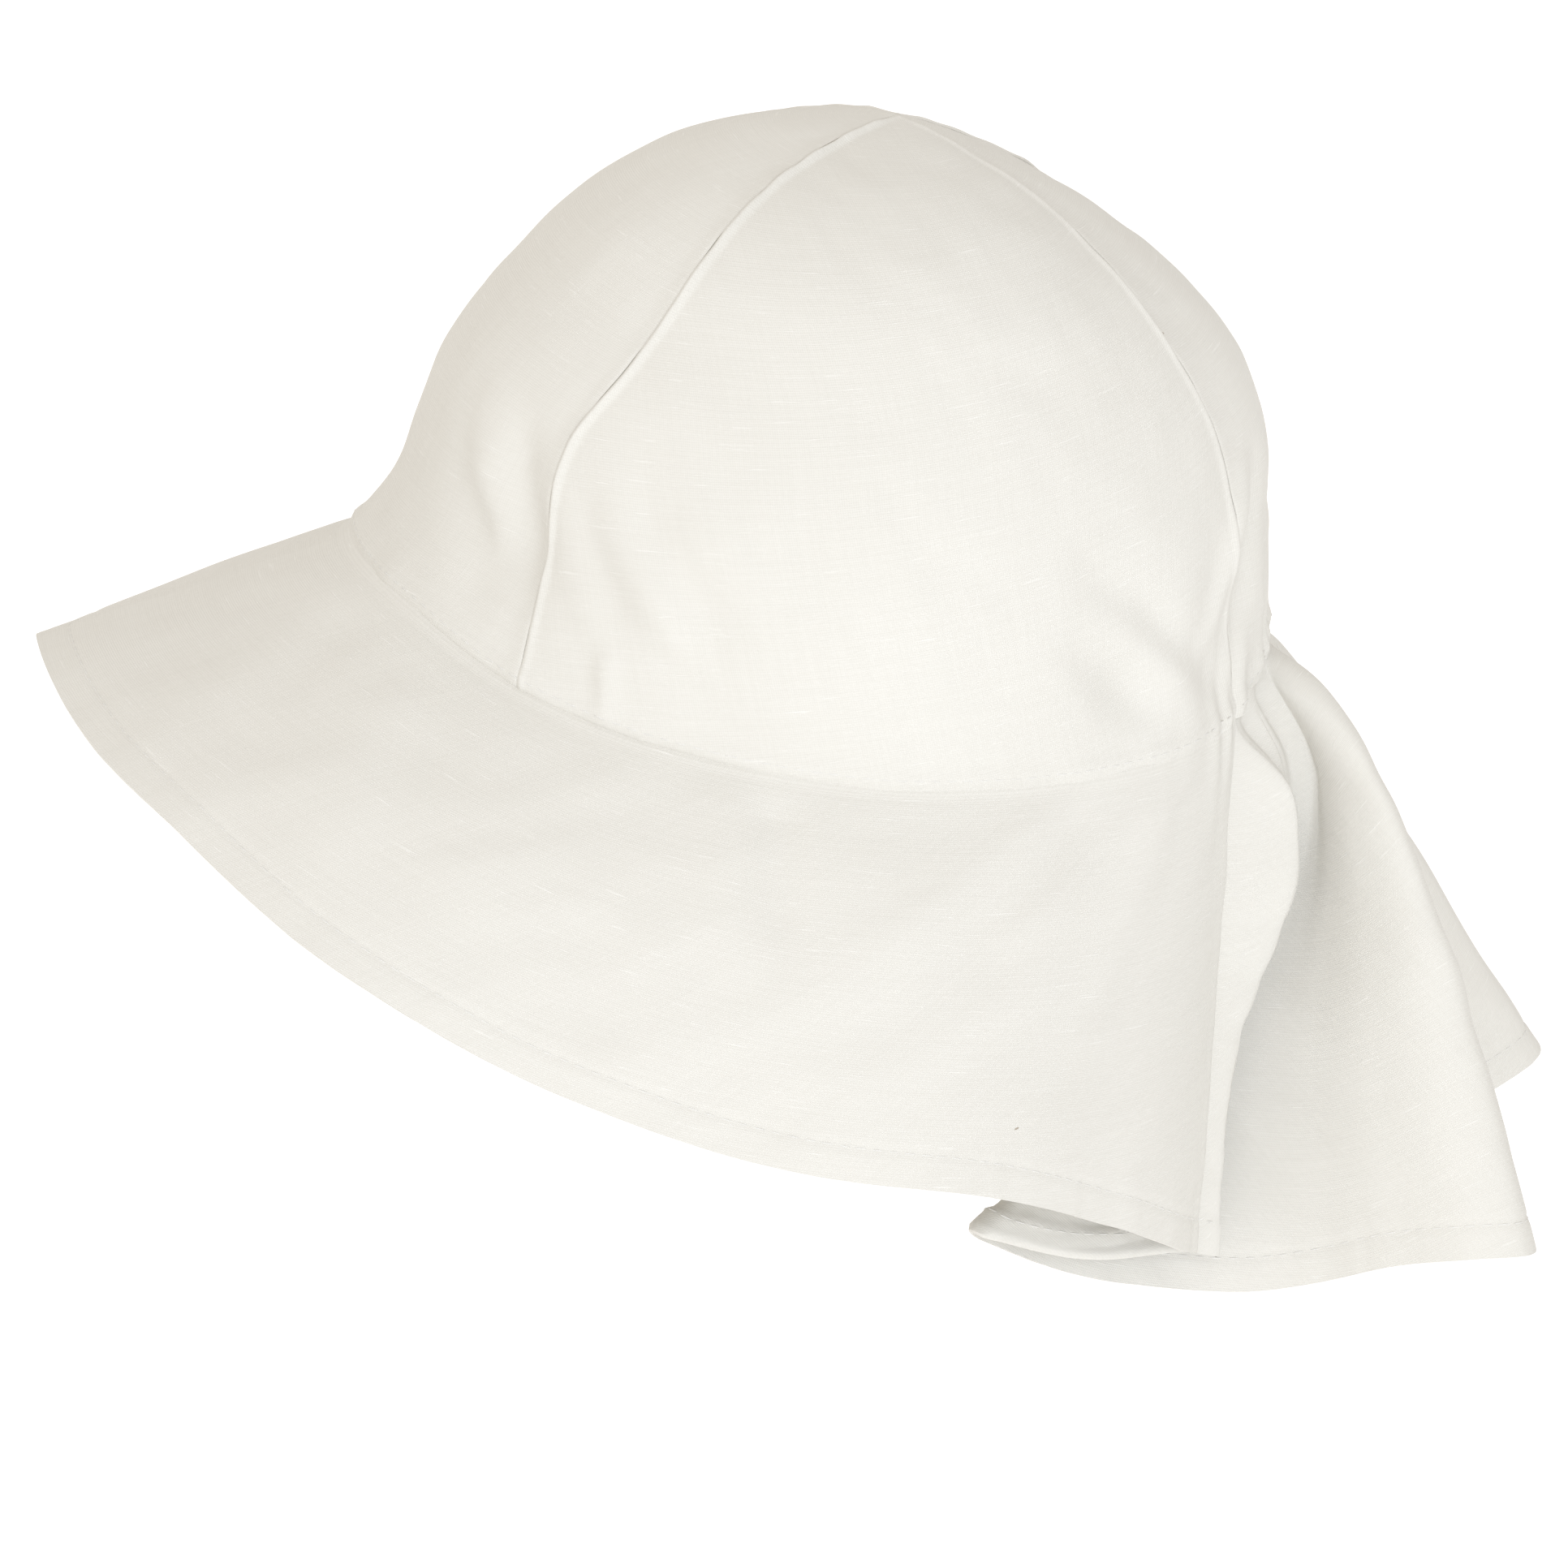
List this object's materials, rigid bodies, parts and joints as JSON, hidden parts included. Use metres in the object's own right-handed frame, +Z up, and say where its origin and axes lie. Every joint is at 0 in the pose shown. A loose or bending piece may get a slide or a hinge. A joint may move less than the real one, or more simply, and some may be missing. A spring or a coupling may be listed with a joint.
{
  "type": "linen sun hat with neck flap",
  "caption": "Small child's off-white linen sun hat: gored crown, wide drooping brim and a gathered neck flap with a Z-fold.",
  "frame": {"origin": "middle of the crown's opening, level with its front and above its lowest point over the ears, where the hat sits on a head", "axes": "+Z up through the crown, -Y to the front of the hat, +X to the wearer's left"},
  "size_m": [0.2133, 0.296, 0.2065],
  "materials": {
    "linen": "undyed off-white plain-weave linen, washed and matt, with slubs and stitched seams"
  },
  "bodies": {
    "root": {"crown_front": "linen", "crown_left": "linen", "crown_right": "linen", "crown_back": "linen", "brim": "linen", "neck_flap": "linen"}
  },
  "joints": []
}
